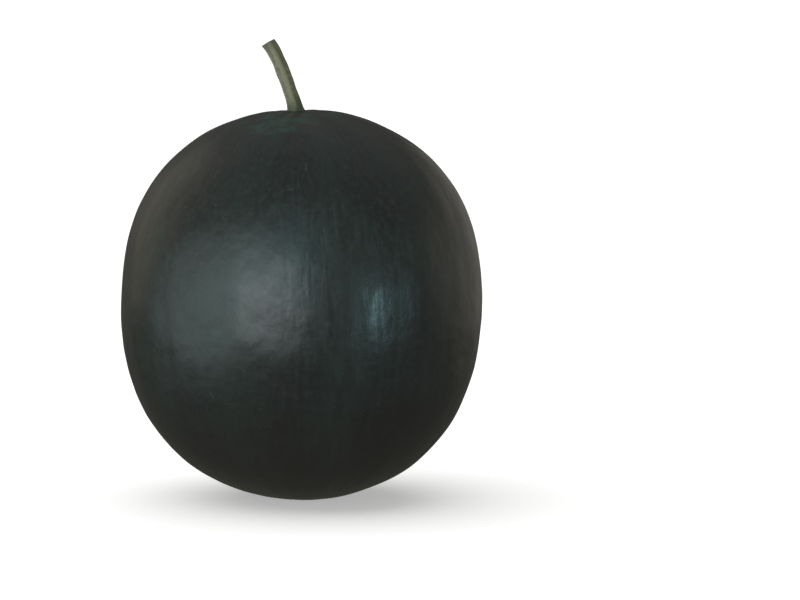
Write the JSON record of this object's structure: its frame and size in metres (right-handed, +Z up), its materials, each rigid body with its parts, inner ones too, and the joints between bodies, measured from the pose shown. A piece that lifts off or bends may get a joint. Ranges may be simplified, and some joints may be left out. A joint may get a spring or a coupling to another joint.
{
  "type": "sugar baby watermelon",
  "caption": "Whole dark green watermelon, nearly round, with its short cut stem on top, standing on a small flat spot at its blossom end.",
  "frame": {"origin": "on the surface that the fruit stands on, at the middle of its flat spot", "axes": "+Z up from the blossom end to the stem, +X to the viewer's right, +Y away from the viewer; the stem leans towards -X"},
  "size_m": [0.1899, 0.1902, 0.2411],
  "materials": {
    "rind": "satin",
    "stalk": "matte"
  },
  "bodies": {
    "root": {"fruit": "rind", "stem": "stalk"}
  },
  "joints": []
}
